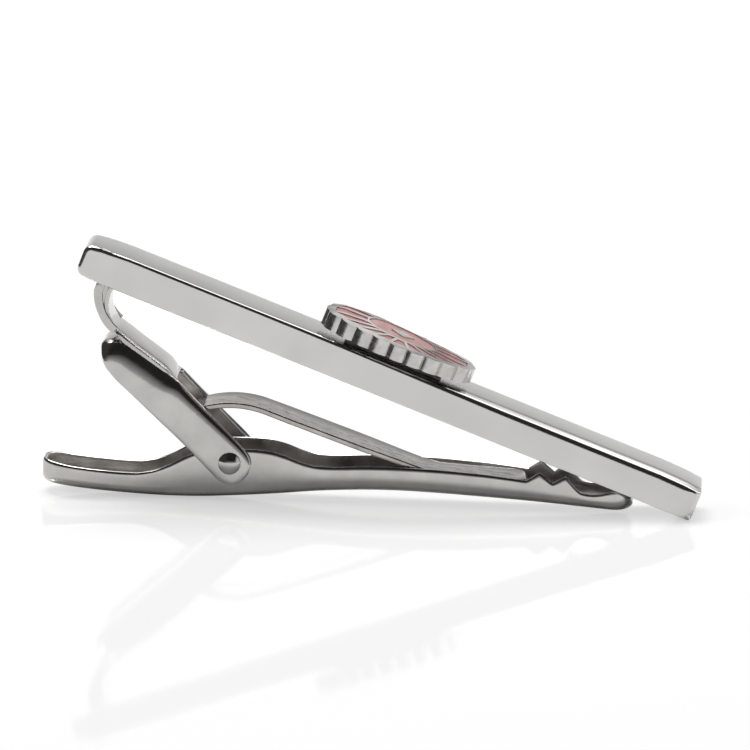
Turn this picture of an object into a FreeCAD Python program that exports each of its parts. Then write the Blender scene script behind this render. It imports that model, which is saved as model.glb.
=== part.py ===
import FreeCAD, Part
import Sketcher
import math
import os
import re

# Tie clip: a plated bar with an enamelled emblem, and a sprung pinch clasp behind it.
# The clip stands as it would on a table: on the jaw's belly and nose and on the bar's right end.
# X runs to the right, Y away from the viewer, Z up from the table, and Y = 0 is the middle plane.

doc = FreeCAD.newDocument("TieClip")

# Driving sizes, in millimetres and degrees
sizes = [
    ("pivot_reach", 12.4, "hinge axis left of the origin"),
    ("pivot_rise", 3.69, "hinge axis above the table"),
    ("bar_length", 58.0, "front bar, end to end"),
    ("bar_width", 5.5, "front bar, near to far side"),
    ("bar_height", 3.1, "front bar, underside to top"),
    ("bar_edge_round", 0.35, "rounding of the bar's top edges"),
    ("bar_corner_round", 0.8, "rounding of the upright corners at the bar's left end"),
    ("bar_toe_round", 0.42, "rounding of the upright corners at the bar's right end"),
    ("bar_foot_round", 0.12, "easing of the bar's lower edges"),
    ("emblem_place", 28.6, "emblem's centre from the bar's left end"),
    ("emblem_gap", 0.5, "height of the soldering pad"),
    ("emblem_pad_length", 9.0, "soldering pad along the bar"),
    ("emblem_pad_width", 3.6, "soldering pad across the bar"),
    ("emblem_length", 14.0, "plaque across its notches, along the bar"),
    ("emblem_width", 5.9, "plaque across its notches, across the bar"),
    ("emblem_thickness", 1.25, "plaque, back to raised lines"),
    ("scallop_radius", 1.15, "rounding of one rim scallop"),
    ("rim_margin", 0.55, "rim between the notches and the enamel"),
    ("enamel_depth", 0.3, "depth of the enamel cells"),
    ("enamel_dip", 0.06, "enamel surface below the raised lines"),
    ("center_length", 6.4, "middle field along the bar"),
    ("center_width", 2.5, "middle field across the bar"),
    ("line_width", 0.28, "raised line"),
    ("lozenge_length", 2.2, "raised lozenge in the middle field, along the bar"),
    ("lozenge_width", 1.0, "raised lozenge in the middle field, across the bar"),
    ("enamel_ease", 0.02, "enamel beside the raised lines"),
    ("strap_width", 5.0, "neck strap, near to far edge"),
    ("strap_thickness", 0.4, "neck strap"),
    ("strap_start", 1.2, "bracket's bend to the strap's lower end"),
    ("strap_seat", 7.02, "bracket's bend to the foot of the neck"),
    ("neck_radius", 2.74, "inner side of the neck's curve"),
    ("neck_straight", 0.1, "straight end of the neck under the bar"),
    ("neck_inset", 3.552, "neck's inner face from the bar's left end"),
    ("flange_turn", 14.0, "start of the flanges round the neck's curve"),
    ("flange_foot", 0.95, "neck flange at its lower end"),
    ("flange_root", 1.6, "neck flange at the bar"),
    ("flange_thickness", 0.5, "neck flange sheet"),
    ("bar_lean", 24.7, "turn between the bracket's web and the bar"),
    ("bracket_width", 6.2, "bracket over its cheeks"),
    ("bracket_sheet", 0.5, "bracket sheet"),
    ("cheek_radius", 1.8, "rounding of the cheeks about the hinge"),
    ("web_lift", 0.4, "web above the rounding of the cheeks"),
    ("bend_reach", 8.3, "hinge to the bend of the web"),
    ("bend_radius", 10.0, "bend of the web"),
    ("seat_fall", 8.0, "turn of the web at its bend"),
    ("nose_reach", 15.05, "hinge to the end of the bracket's nose"),
    ("nose_round", 1.5, "upper rounding of the bracket's nose"),
    ("nose_drop", 1.25, "lower edge of the cheeks at the nose"),
    ("cheek_bend", 7.0, "hinge to the bend of the cheeks' lower edge"),
    ("cheek_drop", 1.85, "lower edge of the cheeks at its bend"),
    ("fold_round", 1.1, "outer rounding of the web's folds"),
    ("slot_reach", 8.4, "hinge to the closed end of the slot"),
    ("slot_ease", 0.1, "slot beside the leaf spring, each side"),
    ("rail_start", 1.0, "hinge to the lower ends of the rails beside the slot"),
    ("notch_reach", 5.75, "hinge to the notches of the slot"),
    ("notch_length", 0.8, "notch along the slot"),
    ("notch_depth", 0.25, "notch into the rail"),
    ("rivet_radius", 0.6, "rivet shank"),
    ("rivet_ease", 0.02, "rivet in the cheeks, radial"),
    ("pivot_play", 0.05, "rivet in the jaw, radial"),
    ("head_radius", 0.88, "rivet head"),
    ("head_height", 0.45, "rivet head"),
    ("cheek_play", 0.14, "jaw beside each cheek"),
    ("jaw_sheet", 0.45, "jaw sheet"),
    ("hull_round", 1.35, "outer rounding of the jaw's lower edges"),
    ("tail_reach", 16.67, "hinge to the end of the thumb tail"),
    ("tail_top", 3.12, "tail's end above the table"),
    ("tail_round", 1.5, "heel of the tail"),
    ("dip_reach", 8.6, "hinge to the lowest wall of the tail"),
    ("dip_top", 2.38, "lowest wall of the tail above the table"),
    ("belly_reach", 4.8, "hinge to the belly's lowest point"),
    ("belly_radius", 90.0, "belly of the jaw"),
    ("ear_top", 4.87, "pivot ears above the table"),
    ("ear_back", 0.6, "hinge to the ears' left shoulder"),
    ("ear_front", 2.4, "hinge to the ears' right shoulder"),
    ("arm_start", 8.4, "hinge to the straight stretch of the arm"),
    ("arm_top", 3.42, "arm's walls where the stretch starts"),
    ("arm_radius", 90.0, "crown of the arm's walls"),
    ("crest_reach", 13.3, "hinge to the arch under the arm"),
    ("crest_rise", 1.15, "arch under the arm above the table"),
    ("arm_fall", 3.4736, "fall of the arm from the arch to the nose"),
    ("tip_reach", 35.4, "hinge to the jaw's tip"),
    ("tip_round", 1.5, "nose of the jaw"),
    ("tooth_foot", 9.35, "jaw's tip to the foot of the teeth"),
    ("tooth_root", 3.04, "foot of the teeth above the table"),
    ("tooth_pitch", 2.3, "tooth to tooth"),
    ("tooth_rise", 0.77, "first tooth above its foot"),
    ("tooth_step", 0.24, "each tooth lower than the one before"),
    ("gullet_drop", 0.14, "gullet below the foot of the teeth"),
    ("rim_notch", 3.6, "jaw's tip to the low rim behind the nose"),
    ("rim_low", 1.85, "low rim above the table"),
    ("rim_high", 2.37, "nose rim above the table"),
    ("rim_crown", 1.7, "jaw's tip to the top of the nose rim"),
    ("rim_gap", 0.146, "nose rim under the closed bar, upright"),
    ("rim_shoulder", 0.4, "nose rim's slope at the tip"),
    ("leaf_width", 4.1, "leaf spring in the slot"),
    ("leaf_middle", 4.5, "leaf spring where it is widest"),
    ("lid_play", 0.06, "leaf spring beside the jaw's walls"),
    ("lid_drop", 0.08, "leaf spring below the foot of the teeth"),
    ("lid_length", 7.0, "leaf spring along the jaw's walls"),
    ("lip_width", 2.0, "lip of the leaf spring on the jaw's floor"),
    ("lip_round", 0.6, "bend of the lip, mid thickness"),
    ("leaf_thickness", 0.5, "leaf spring"),
    ("leaf_fall", 19.1, "fall of the leaf's straight stretch"),
    ("hump_reach", 0.15, "hinge to the top of the leaf's hump"),
    ("hump_rise", 8.7, "leaf's hump above the table, mid thickness"),
    ("hump_radius", 8.75, "leaf's hump, mid thickness"),
    ("hook_turn", 25.0, "turn of the leaf past its hump"),
    ("hook_length", 0.75, "ears of the leaf along it"),
    ("hook_width", 0.35, "ears of the leaf beside it, each side"),
    ("knee_radius", 8.0, "bend of the leaf above the jaw"),
]
names = [size[0] for size in sizes]

sheet = doc.addObject("Spreadsheet::Sheet", "Sizes")
for row, (alias, value, meaning) in enumerate(sizes, start=1):
    sheet.set(f"A{row}", meaning)
    sheet.set(f"B{row}", str(value))
    sheet.setAlias(f"B{row}", alias)
doc.recompute()


def tied(expression):
    return re.sub(r"[a-z_]+", lambda word: "Sizes." * (word[0] in names) + word[0], expression)


def measure(expression):
    return sheet.evalExpression(expression)


# Sketch, feature and placement helpers

def new_body(label):
    body = doc.addObject("PartDesign::Body", label)
    body.Label = label
    return body


def new_sketch(body, name, role, lift=None):
    plane = next(feature for feature in body.Origin.OriginFeatures if feature.Role == role)
    sketch = body.newObject("Sketcher::SketchObject", name)
    sketch.AttachmentSupport = [(plane, "")]
    sketch.MapMode = "FlatFace"
    if lift:
        sketch.setExpression("AttachmentOffset.Base.z", tied(lift))
    doc.recompute()
    return sketch


def pin_point(sketch, geometry, end, x, y):
    for kind, axis, place in (("DistanceX", -2, x), ("DistanceY", -1, y)):
        if place == "0":
            sketch.addConstraint(Sketcher.Constraint("PointOnObject", geometry, end, axis))
        else:
            pin = Sketcher.Constraint(kind, -1, 1, geometry, end, measure(place))
            sketch.setExpression(f"Constraints[{sketch.addConstraint(pin)}]", tied(place))


def arc_between(start, end, radius, side):
    # side is 1 where the centre lies to the left of the way from start to end, and -1 to the right
    chord = end - start
    height = math.sqrt(max(radius ** 2 - (chord.Length / 2) ** 2, 0))
    to_left = FreeCAD.Vector(-chord.y, chord.x, 0) / chord.Length
    center = (start + end) / 2 + to_left * height * side
    first, last = (start, end) if side > 0 else (end, start)
    angles = [math.atan2(point.y - center.y, point.x - center.x) for point in (first, last)]
    return Part.ArcOfCircle(Part.Circle(center, FreeCAD.Vector(0, 0, 1), radius), *angles)


def outline(sketch, corners):
    # A corner is (x, y), and one with a radius and a side starts an arc to the next corner
    points = [FreeCAD.Vector(measure(corner[0]), measure(corner[1]), 0) for corner in corners]
    ends = []
    for index, corner in enumerate(corners):
        start = points[index]
        end = points[(index + 1) % len(points)]
        if len(corner) == 2:
            geometry = sketch.addGeometry(Part.LineSegment(start, end))
            ends.append((geometry, 1, 2))
        else:
            radius, side = corner[2:]
            geometry = sketch.addGeometry(arc_between(start, end, measure(radius), side))
            ends.append((geometry, 1, 2) if side > 0 else (geometry, 2, 1))
    for index, corner in enumerate(corners):
        geometry, first, last = ends[index]
        following, following_first, _ = ends[(index + 1) % len(ends)]
        sketch.addConstraint(Sketcher.Constraint("Coincident", geometry, last, following, following_first))
        pin_point(sketch, geometry, first, corner[0], corner[1])
    for index, corner in enumerate(corners):
        if len(corner) == 4:
            curve = Sketcher.Constraint("Radius", ends[index][0], measure(corner[2]))
            sketch.setExpression(f"Constraints[{sketch.addConstraint(curve)}]", tied(corner[2]))
    doc.recompute()


def circle(sketch, x, y, radius):
    center = FreeCAD.Vector(measure(x), measure(y), 0)
    round_hole = Part.Circle(center, FreeCAD.Vector(0, 0, 1), measure(radius))
    geometry = sketch.addGeometry(round_hole)
    pin_point(sketch, geometry, 3, x, y)
    rounding = Sketcher.Constraint("Radius", geometry, measure(radius))
    sketch.setExpression(f"Constraints[{sketch.addConstraint(rounding)}]", tied(radius))
    doc.recompute()


def ribbon(stations, thickness):
    # Both sides of a bent strip that runs to the left. A station is (x, z, lean of the upper normal, bend);
    # the bend to the next station is None, or a middle radius and 1 for a centre below, -1 for one above
    upper = []
    lower = []
    for x, z, lean, bend in stations:
        across = f"{thickness} / 2 * sin({lean})"
        along = f"{thickness} / 2 * cos({lean})"
        upper.append((f"{x} + {across}", f"{z} + {along}"))
        lower.append((f"{x} - {across}", f"{z} - {along}"))
    for index, station in enumerate(stations[:-1]):
        if station[3]:
            radius, side = station[3]
            outer = "+" if side > 0 else "-"
            inner = "-" if side > 0 else "+"
            upper[index] += (f"{radius} {outer} {thickness} / 2", side)
            lower[index + 1] += (f"{radius} {inner} {thickness} / 2", -side)
    return upper + lower[::-1]


def pad(body, name, sketch, length, both_ways=False):
    feature = body.newObject("PartDesign::Pad", name)
    feature.Profile = sketch
    feature.SideType = "Symmetric" if both_ways else "One side"
    feature.setExpression("Length", tied(length))
    body.Tip = feature
    doc.recompute()
    return feature


def pocket(body, name, sketch, length, both_ways=False, upward=False):
    before = body.Shape.Volume
    feature = body.newObject("PartDesign::Pocket", name)
    feature.Profile = sketch
    feature.SideType = "Symmetric" if both_ways else "One side"
    feature.setExpression("Length", tied(length))
    feature.Reversed = upward
    body.Tip = feature
    doc.recompute()
    if body.Shape.Volume >= before:
        raise RuntimeError(f"{name} takes nothing away")
    return feature


def fillet(body, name, base, radius, wanted):
    chosen = [f"Edge{number}" for number, edge in enumerate(base.Shape.Edges, start=1) if wanted(edge)]
    feature = body.newObject("PartDesign::Fillet", name)
    feature.Base = (base, chosen)
    feature.setExpression("Radius", tied(radius))
    body.Tip = feature
    doc.recompute()
    if "Invalid" in feature.State:
        raise RuntimeError(f"{name} fails on {chosen}")
    return feature


def middle(edge):
    return edge.valueAt((edge.FirstParameter + edge.LastParameter) / 2)


def upright(edge):
    return abs(edge.tangentAt(edge.FirstParameter).z) > 0.9


def place(body, x, z, turn=None):
    if turn:
        body.Placement.Rotation = FreeCAD.Rotation(FreeCAD.Vector(0, 1, 0), measure(turn))
        body.setExpression(".Placement.Rotation.Angle", tied(turn))
    body.setExpression(".Placement.Base.x", tied(x))
    body.setExpression(".Placement.Base.z", tied(z))
    doc.recompute()


# The hinge carries the bracket, the bracket the strap, and the strap the bar: their shared geometry.
# The bar falls to the right until it nearly meets the closed jaw's nose rim

web = "(cheek_radius + web_lift)"
neck_lean = "(bar_lean - seat_fall)"
neck_outside = "(neck_radius + strap_thickness)"
pivot_drop = (
    f"(bend_reach * sin(bar_lean) + {web} * cos(bar_lean) + strap_seat * sin{neck_lean}"
    f" + {neck_outside} * cos{neck_lean} + neck_straight)"
)
pivot_inset = (
    f"(neck_inset + neck_radius + bend_reach * cos(bar_lean) - {web} * sin(bar_lean)"
    f" + strap_seat * cos{neck_lean} - {neck_outside} * sin{neck_lean})"
)
rim_run = "(tip_reach - rim_crown)"
rim_rise = "(rim_high + rim_gap - pivot_rise)"
bar_fall = (
    f"((asin({pivot_drop} / sqrt({rim_run}^2 + {rim_rise}^2)) - atan({rim_rise} / {rim_run})) / 1 deg)"
)
bracket_pitch = f"(bar_lean + {bar_fall})"


def place_on_bar(body, along, above):
    from_hinge = f"({along} - {pivot_inset})"
    over_hinge = f"({above} + {pivot_drop})"
    x = f"-pivot_reach + {from_hinge} * cos{bar_fall} + {over_hinge} * sin{bar_fall}"
    z = f"pivot_rise - {from_hinge} * sin{bar_fall} + {over_hinge} * cos{bar_fall}"
    place(body, x, z, bar_fall)


# Front bar: origin at its left end on the underside

front_bar = new_body("front_bar")
bar_plan = new_sketch(front_bar, "bar_plan", "XY_Plane")
outline(bar_plan, [
    ("0", "-bar_width / 2"),
    ("bar_length", "-bar_width / 2"),
    ("bar_length", "bar_width / 2"),
    ("0", "bar_width / 2"),
])
bar_block = pad(front_bar, "bar_block", bar_plan, "bar_height")
bar_corners = fillet(
    front_bar, "bar_corners", bar_block, "bar_corner_round",
    lambda edge: upright(edge) and middle(edge).x < 0.01,
)
bar_toe = fillet(
    front_bar, "bar_toe", bar_corners, "bar_toe_round",
    lambda edge: upright(edge) and middle(edge).x > measure("bar_length") - 0.01,
)
bar_top = fillet(
    front_bar, "bar_top", bar_toe, "bar_edge_round",
    lambda edge: middle(edge).z > measure("bar_height") - 0.01,
)
fillet(
    front_bar, "bar_foot", bar_top, "bar_foot_round",
    lambda edge: middle(edge).z < 0.01,
)
place_on_bar(front_bar, "0", "0")

# Emblem: a scalloped plaque on a soldering pad, with ray cells round a middle field

emblem_pad = new_body("emblem_pad")
pad_plan = new_sketch(emblem_pad, "pad_plan", "XY_Plane")
outline(pad_plan, [
    ("-emblem_pad_length / 2", "-emblem_pad_width / 2"),
    ("emblem_pad_length / 2", "-emblem_pad_width / 2"),
    ("emblem_pad_length / 2", "emblem_pad_width / 2"),
    ("-emblem_pad_length / 2", "emblem_pad_width / 2"),
])
pad(emblem_pad, "pad_block", pad_plan, "emblem_gap")
place_on_bar(emblem_pad, "emblem_place", "bar_height")

lobes = 20
steps = 3600


def even_turns(long_half, short_half):
    # Turns of an oval that part its rim into equal lengths, with one length centred on each end
    lengths = [0.0]
    for step in range(steps):
        turn = 2 * math.pi * (step + 0.5) / steps
        lengths.append(lengths[-1] + math.hypot(long_half * math.sin(turn), short_half * math.cos(turn)))
    turns = []
    for lobe in range(lobes):
        goal = lengths[-1] * (lobe - 0.5) / lobes
        step = next(index for index, length in enumerate(lengths) if length >= goal % lengths[-1])
        turns.append(round(360 * step / steps - 360 * (goal < 0), 1))
    return turns


turns = even_turns(measure("emblem_length / 2"), measure("emblem_width / 2"))


def oval_point(length, width, turn):
    return f"({length}) / 2 * cos({turn})", f"({width}) / 2 * sin({turn})"


def ray_cells(sketch, ease):
    # One cell between each pair of raised lines; the lines run outward from the middle field
    wider = f"2 * (line_width + 2 * {ease})"
    narrower = f"2 * (rim_margin + 2 * {ease})"
    inner = (f"center_length + {wider}", f"center_width + {wider}")
    outer = (f"emblem_length - {narrower}", f"emblem_width - {narrower}")
    half = f"(line_width / 2 + {ease})"
    for first, last in zip(turns, turns[1:] + [turns[0] + 360]):
        corners = []
        for turn, side, ring in ((first, 1, inner), (first, 1, outer), (last, -1, outer), (last, -1, inner)):
            x, y = oval_point(*ring, turn)
            low = [measure(value) for value in oval_point(*inner, turn)]
            high = [measure(value) for value in oval_point(*outer, turn)]
            heading = math.degrees(math.atan2(high[1] - low[1], high[0] - low[0]))
            aside = round(heading + 90 * side, 1)
            corners.append((f"{x} + {half} * cos({aside})", f"{y} + {half} * sin({aside})"))
        outline(sketch, corners)


def middle_field(sketch, ease):
    long_half = f"center_length / 2 - {ease}"
    short_half = f"center_width / 2 - {ease}"
    oval = Part.Ellipse(FreeCAD.Vector(0, 0, 0), measure(long_half), measure(short_half))
    field = sketch.addGeometry(oval)
    sketch.exposeInternalGeometry(field)
    sketch.addConstraint(Sketcher.Constraint("Coincident", field, 3, -1, 1))
    sketch.addConstraint(Sketcher.Constraint("Horizontal", field + 1))
    for axis, half in ((field + 1, long_half), (field + 2, short_half)):
        span = Sketcher.Constraint("Distance", axis, 1, axis, 2, 2 * measure(half))
        sketch.setExpression(f"Constraints[{sketch.addConstraint(span)}]", tied(f"2 * ({half})"))
    outline(sketch, [
        (f"-lozenge_length / 2 - {ease}", "0"),
        ("0", f"-lozenge_width / 2 - {ease}"),
        (f"lozenge_length / 2 + {ease}", "0"),
        ("0", f"lozenge_width / 2 + {ease}"),
    ])


emblem_plaque = new_body("emblem_plaque")
rim_plan = new_sketch(emblem_plaque, "rim_plan", "XY_Plane")
notches = [oval_point("emblem_length", "emblem_width", turn) for turn in turns]
outline(rim_plan, [notch + ("scallop_radius", 1) for notch in notches])
pad(emblem_plaque, "plaque_block", rim_plan, "emblem_thickness")
ray_plan = new_sketch(emblem_plaque, "ray_plan", "XY_Plane", "emblem_thickness")
ray_cells(ray_plan, "0")
pocket(emblem_plaque, "ray_recess", ray_plan, "enamel_depth")
field_plan = new_sketch(emblem_plaque, "field_plan", "XY_Plane", "emblem_thickness")
middle_field(field_plan, "0")
pocket(emblem_plaque, "field_recess", field_plan, "enamel_depth")
place_on_bar(emblem_plaque, "emblem_place", "bar_height + emblem_gap")

enamel_floor = "bar_height + emblem_gap + emblem_thickness - enamel_depth"

enamel_rays = new_body("enamel_rays")
enamel_rays.AllowCompound = True
ray_fill_plan = new_sketch(enamel_rays, "ray_fill_plan", "XY_Plane")
ray_cells(ray_fill_plan, "enamel_ease")
pad(enamel_rays, "ray_fill", ray_fill_plan, "enamel_depth - enamel_dip")
place_on_bar(enamel_rays, "emblem_place", enamel_floor)

enamel_center = new_body("enamel_center")
field_fill_plan = new_sketch(enamel_center, "field_fill_plan", "XY_Plane")
middle_field(field_fill_plan, "enamel_ease")
pad(enamel_center, "field_fill", field_fill_plan, "enamel_depth - enamel_dip")
place_on_bar(enamel_center, "emblem_place", enamel_floor)

# Hinge bracket: origin on the hinge axis, x down along the web and z out of it

bend_run = "bend_radius * tan(seat_fall / 2)"
nose_top = f"({web} - (nose_reach - bend_reach) * tan(seat_fall))"
nose_run = "nose_round * tan(45 - seat_fall / 2)"


def web_chain(inset):
    # Upper side of the bracket from the start of its bend to the foot of its nose's rounding
    return [
        (f"{bend_run} - bend_reach", f"{web} - {inset}", f"bend_radius - {inset}", 1),
        (
            f"-bend_reach - {bend_run} * cos(seat_fall) + {inset} * sin(seat_fall)",
            f"{web} - {bend_run} * sin(seat_fall) - {inset} * cos(seat_fall)",
        ),
        (
            f"-nose_reach + {nose_run} * cos(seat_fall) + {inset} * sin(seat_fall)",
            f"{nose_top} + {nose_run} * sin(seat_fall) - {inset} * cos(seat_fall)",
            f"nose_round - {inset}", 1,
        ),
        (f"-nose_reach + {inset}", f"{nose_top} - {nose_run}"),
    ]


hinge_bracket = new_body("hinge_bracket")
bracket_side = new_sketch(hinge_bracket, "bracket_side", "XZ_Plane")
outline(bracket_side, [
    (f"cheek_radius * sqrt(1 - (cheek_radius / {web})^2)", f"cheek_radius^2 / {web}"),
    ("0", web),
    *web_chain("0"),
    ("-nose_reach", "-nose_drop"),
    ("-cheek_bend", "-cheek_drop"),
    ("0", "-cheek_radius", "cheek_radius", 1),
])
bracket_block = pad(hinge_bracket, "bracket_block", bracket_side, "bracket_width", both_ways=True)


def on_fold(edge):
    point = middle(edge)
    beside = abs(abs(point.y) - measure("bracket_width / 2")) < 0.01
    along_top = point.z > measure(f"{nose_top} - {nose_run}") and point.x < -0.01
    along_nose = point.x < measure("-nose_reach") + 0.01
    return beside and (along_top or along_nose)


fillet(hinge_bracket, "bracket_folds", bracket_block, "fold_round", on_fold)
bracket_inside = new_sketch(hinge_bracket, "bracket_inside", "XZ_Plane")
outline(bracket_inside, [
    ("cheek_radius * 2", f"{web} - bracket_sheet"),
    *web_chain("bracket_sheet"),
    ("-nose_reach + bracket_sheet", "-cheek_radius * 2"),
    ("cheek_radius * 2", "-cheek_radius * 2"),
])
pocket(hinge_bracket, "bracket_channel", bracket_inside, "bracket_width - 2 * bracket_sheet", both_ways=True)

slot_half = "(leaf_width / 2 + slot_ease)"
cheek_inside = "(bracket_width / 2 - bracket_sheet)"
slot_plan = new_sketch(hinge_bracket, "slot_plan", "XY_Plane")
outline(slot_plan, [
    (f"-slot_reach + {slot_half} / 2", f"-{slot_half}"),
    ("-notch_reach - notch_length / 2", f"-{slot_half}"),
    ("-notch_reach - notch_length / 2", f"-{slot_half} - notch_depth"),
    ("-notch_reach + notch_length / 2", f"-{slot_half} - notch_depth"),
    ("-notch_reach + notch_length / 2", f"-{slot_half}"),
    ("-rail_start", f"-{slot_half}"),
    ("-rail_start", f"-{cheek_inside}"),
    ("cheek_radius", f"-{cheek_inside}"),
    ("cheek_radius", cheek_inside),
    ("-rail_start", cheek_inside),
    ("-rail_start", slot_half),
    ("-notch_reach + notch_length / 2", slot_half),
    ("-notch_reach + notch_length / 2", f"{slot_half} + notch_depth"),
    ("-notch_reach - notch_length / 2", f"{slot_half} + notch_depth"),
    ("-notch_reach - notch_length / 2", slot_half),
    (f"-slot_reach + {slot_half} / 2", slot_half, f"{slot_half} / 2", 1),
    ("-slot_reach", f"{slot_half} / 2"),
    ("-slot_reach", f"-{slot_half} / 2", f"{slot_half} / 2", 1),
])
pocket(hinge_bracket, "web_slot", slot_plan, f"{web} * 2", upward=True)

cheek_holes = new_sketch(hinge_bracket, "cheek_holes", "XZ_Plane")
circle(cheek_holes, "0", "0", "rivet_radius + rivet_ease")
pocket(hinge_bracket, "cheek_bores", cheek_holes, "bracket_width * 2", both_ways=True)
place(hinge_bracket, "-pivot_reach", "pivot_rise", bracket_pitch)

# Neck strap: in the bracket's frame, flat on the web past its bend, then curving up to the bar

seat_foot = (
    "(-bend_reach - strap_seat * cos(seat_fall))",
    f"({web} - strap_seat * sin(seat_fall))",
)
neck_center = (
    f"({seat_foot[0]} - {neck_outside} * sin(seat_fall))",
    f"({seat_foot[1]} + {neck_outside} * cos(seat_fall))",
)


def neck_foot_point(depth, turn="-seat_fall"):
    # Point of the neck's curve at its lower end, measured out from the curve's centre
    return f"{neck_center[0]} - ({depth}) * sin({turn})", f"{neck_center[1]} - ({depth}) * cos({turn})"


def neck_root_point(depth, rise):
    # Point of the neck at the bar, out from the curve's centre and on along the neck's straight end
    return (
        f"{neck_center[0]} - ({depth}) * cos(bar_lean) - ({rise}) * sin(bar_lean)",
        f"{neck_center[1]} - ({depth}) * sin(bar_lean) + ({rise}) * cos(bar_lean)",
    )


neck_strap = new_body("neck_strap")
strap_side = new_sketch(neck_strap, "strap_side", "XZ_Plane")
half_strap = "strap_thickness / 2"
neck_middle = "(neck_radius + strap_thickness / 2)"
outline(strap_side, ribbon([
    (
        f"-bend_reach - strap_start * cos(seat_fall) - {half_strap} * sin(seat_fall)",
        f"{web} - strap_start * sin(seat_fall) + {half_strap} * cos(seat_fall)",
        "-seat_fall", None,
    ),
    (*neck_foot_point(neck_middle), "-seat_fall", (neck_middle, -1)),
    (*neck_root_point(neck_middle, "0"), "(90 - bar_lean)", None),
    (*neck_root_point(neck_middle, "neck_straight"), "(90 - bar_lean)", None),
], "strap_thickness"))
pad(neck_strap, "strap_strip", strap_side, "strap_width", both_ways=True)

flange_lean = "(flange_turn - seat_fall)"
flange_side = new_sketch(neck_strap, "flange_side", "XZ_Plane")
outline(flange_side, [
    neck_foot_point("neck_radius", flange_lean),
    neck_foot_point("neck_radius + flange_foot", flange_lean) + ("neck_radius + flange_root", -1),
    neck_root_point("neck_radius + flange_root", "neck_straight"),
    neck_root_point("neck_radius", "neck_straight"),
    neck_root_point("neck_radius", "0") + ("neck_radius", 1),
])
pad(neck_strap, "flange_block", flange_side, "strap_width", both_ways=True)

behind = "neck_radius + flange_root * 2"
neck_back = new_sketch(neck_strap, "neck_back", "XZ_Plane")
outline(neck_back, [
    neck_foot_point(neck_outside),
    neck_foot_point(behind) + (behind, -1),
    neck_root_point(behind, "0"),
    neck_root_point(behind, "neck_straight * 2"),
    neck_root_point(neck_outside, "neck_straight * 2"),
    neck_root_point(neck_outside, "0") + (neck_outside, 1),
])
pocket(neck_strap, "neck_hollow", neck_back, "strap_width - 2 * flange_thickness", both_ways=True)
place(neck_strap, "-pivot_reach", "pivot_rise", bracket_pitch)

# Hinge rivet: shank with a domed head outside each cheek

head_foot = "bracket_width / 2"
head_crown = "bracket_width / 2 + head_height"
dome = "(head_radius^2 + head_height^2) / (2 * head_height)"
hinge_rivet = new_body("hinge_rivet")
rivet_half = new_sketch(hinge_rivet, "rivet_half", "XY_Plane")
outline(rivet_half, [
    ("0", f"-{head_foot} - head_height", dome, 1),
    ("head_radius", f"-{head_foot}"),
    ("rivet_radius", f"-{head_foot}"),
    ("rivet_radius", head_foot),
    ("head_radius", head_foot, dome, 1),
    ("0", head_crown),
])
rivet_turned = hinge_rivet.newObject("PartDesign::Revolution", "rivet_turned")
rivet_turned.Profile = rivet_half
rivet_turned.ReferenceAxis = (rivet_half, ["V_Axis"])
rivet_turned.Angle = 360
hinge_rivet.Tip = rivet_turned
doc.recompute()
place(hinge_rivet, "-pivot_reach", "pivot_rise")

# Jaw arm: x from the hinge axis, z from the table

arch_span = "(((crest_reach + belly_reach)^2 + crest_rise^2) / (2 * crest_rise))"
arch_radius = f"({arch_span} - belly_radius)"
heel_rise = (
    "(belly_radius - sqrt((belly_radius - tail_round)^2 - (tail_reach - tail_round - belly_reach)^2))"
)
sole_offset = (
    f"(crest_reach * sin(arm_fall) + (crest_rise - {arch_radius}) * cos(arm_fall) + {arch_radius})"
)
tip_rise = f"(({sole_offset} + tip_round - (tip_reach - tip_round) * sin(arm_fall)) / cos(arm_fall))"


def sole_chain(inset):
    # Lower side of the jaw from its tail to its tip: heel, belly, arch, straight run and nose
    return [
        (f"-tail_reach + {inset}", heel_rise, f"tail_round - {inset}", 1),
        (
            f"-belly_reach - (belly_radius - {inset}) * (tail_reach - tail_round - belly_reach)"
            " / (belly_radius - tail_round)",
            f"belly_radius - (belly_radius - {inset}) * (belly_radius - {heel_rise})"
            " / (belly_radius - tail_round)",
            f"belly_radius - {inset}", 1,
        ),
        (
            f"-belly_reach + (belly_radius - {inset}) * (crest_reach + belly_reach) / {arch_span}",
            f"belly_radius - (belly_radius - {inset}) * ({arch_span} - crest_rise) / {arch_span}",
            f"{arch_radius} + {inset}", -1,
        ),
        (
            f"crest_reach + ({arch_radius} + {inset}) * sin(arm_fall)",
            f"crest_rise - {arch_radius} + ({arch_radius} + {inset}) * cos(arm_fall)",
        ),
        (
            f"tip_reach - tip_round - (tip_round - {inset}) * sin(arm_fall)",
            f"{tip_rise} - (tip_round - {inset}) * cos(arm_fall)",
            f"tip_round - {inset}", 1,
        ),
        (f"tip_reach - {inset}", tip_rise),
    ]


front_run = "(arm_start - ear_front)"
front_climb = "(ear_top - arm_top)"
front_curve = f"({front_run}^2 + {front_climb}^2) / (4 * {front_climb})"
back_run = "(dip_reach - ear_back)"
back_climb = "(ear_top - dip_top)"
back_curve = f"({back_run}^2 + {back_climb}^2) / (4 * {back_climb})"
tail_run = "(tail_reach - dip_reach)"
tail_climb = "(tail_top - dip_top)"
tail_curve = f"({tail_run}^2 + {tail_climb}^2) / (2 * {tail_climb})"

jaw_width = "(bracket_width - 2 * bracket_sheet - 2 * cheek_play)"
jaw_arm = new_body("jaw_arm")
jaw_side = new_sketch(jaw_arm, "jaw_side", "XZ_Plane")
outline(jaw_side, [
    *sole_chain("0"),
    ("tip_reach", "ear_top * 2"),
    ("-tail_reach", "ear_top * 2"),
])
pad(jaw_arm, "jaw_block", jaw_side, jaw_width, both_ways=True)


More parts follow.
